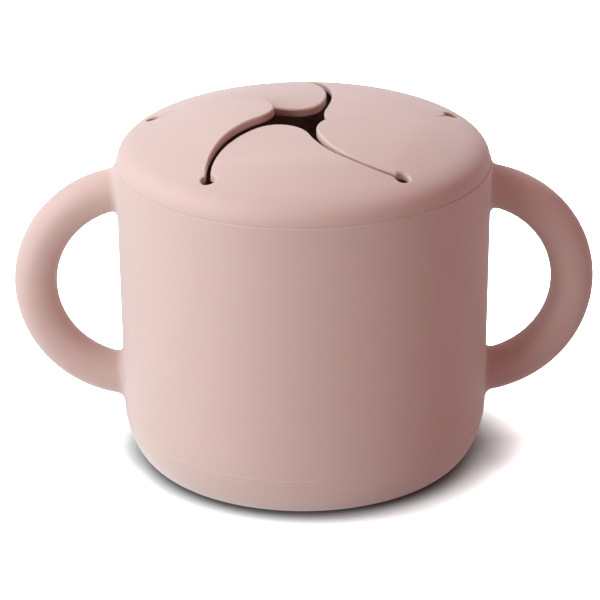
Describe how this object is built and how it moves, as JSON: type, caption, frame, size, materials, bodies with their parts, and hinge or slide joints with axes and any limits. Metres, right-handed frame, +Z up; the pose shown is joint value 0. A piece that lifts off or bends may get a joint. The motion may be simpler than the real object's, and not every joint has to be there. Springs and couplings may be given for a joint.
{
  "type": "snack cup",
  "caption": "Round silicone snack cup with side ring handles and a flush domed lid whose top is slit into swirled petals that a small hand pushes aside.",
  "frame": {"origin": "centre of the flat base, on the surface that the cup stands on", "axes": "+Z up along the cup's axis; handles on -X and +X; the side that faces the camera in the picture is -Y"},
  "size_m": [0.1408, 0.09, 0.0884],
  "materials": {
    "cup_silicone": "matt, soft-touch dusty pink silicone",
    "lid_silicone": "matt, soft-touch dusty pink silicone, the same as the cup"
  },
  "bodies": {
    "cup": {"cup": "cup_silicone", "handle_left": "cup_silicone", "handle_right": "cup_silicone"},
    "lid": {"lid_rim": "lid_silicone"},
    "petal_front": {"petal_front": "lid_silicone"},
    "petal_right": {"petal_right": "lid_silicone"},
    "petal_back_right": {"petal_back_right": "lid_silicone"},
    "petal_back_left": {"petal_back_left": "lid_silicone"},
    "petal_left": {"petal_left": "lid_silicone"}
  },
  "joints": [
    {"name": "lid_lift", "type": "slide", "parent": "cup", "child": "lid", "axis": [0, 0, 1], "range_m": [0, 0.03]},
    {"name": "petal_front_bend", "type": "hinge", "parent": "lid", "child": "petal_front", "pos_m": [0, -0.03058, 0.0819], "axis": [1, 0, 0], "range_deg": [-60, 45], "stiffness_Nm_per_rad": 0.03},
    {"name": "petal_right_bend", "type": "hinge", "parent": "lid", "child": "petal_right", "pos_m": [0.02908, -0.00945, 0.0819], "axis": [0.309, 0.9511, 0], "range_deg": [-60, 45], "stiffness_Nm_per_rad": 0.03},
    {"name": "petal_back_right_bend", "type": "hinge", "parent": "lid", "child": "petal_back_right", "pos_m": [0.01798, 0.02474, 0.0819], "axis": [-0.809, 0.5878, 0], "range_deg": [-60, 45], "stiffness_Nm_per_rad": 0.03},
    {"name": "petal_back_left_bend", "type": "hinge", "parent": "lid", "child": "petal_back_left", "pos_m": [-0.01798, 0.02474, 0.0819], "axis": [-0.809, -0.5878, 0], "range_deg": [-60, 45], "stiffness_Nm_per_rad": 0.03},
    {"name": "petal_left_bend", "type": "hinge", "parent": "lid", "child": "petal_left", "pos_m": [-0.02908, -0.00945, 0.0819], "axis": [0.309, -0.9511, 0], "range_deg": [-60, 45], "stiffness_Nm_per_rad": 0.03}
  ]
}
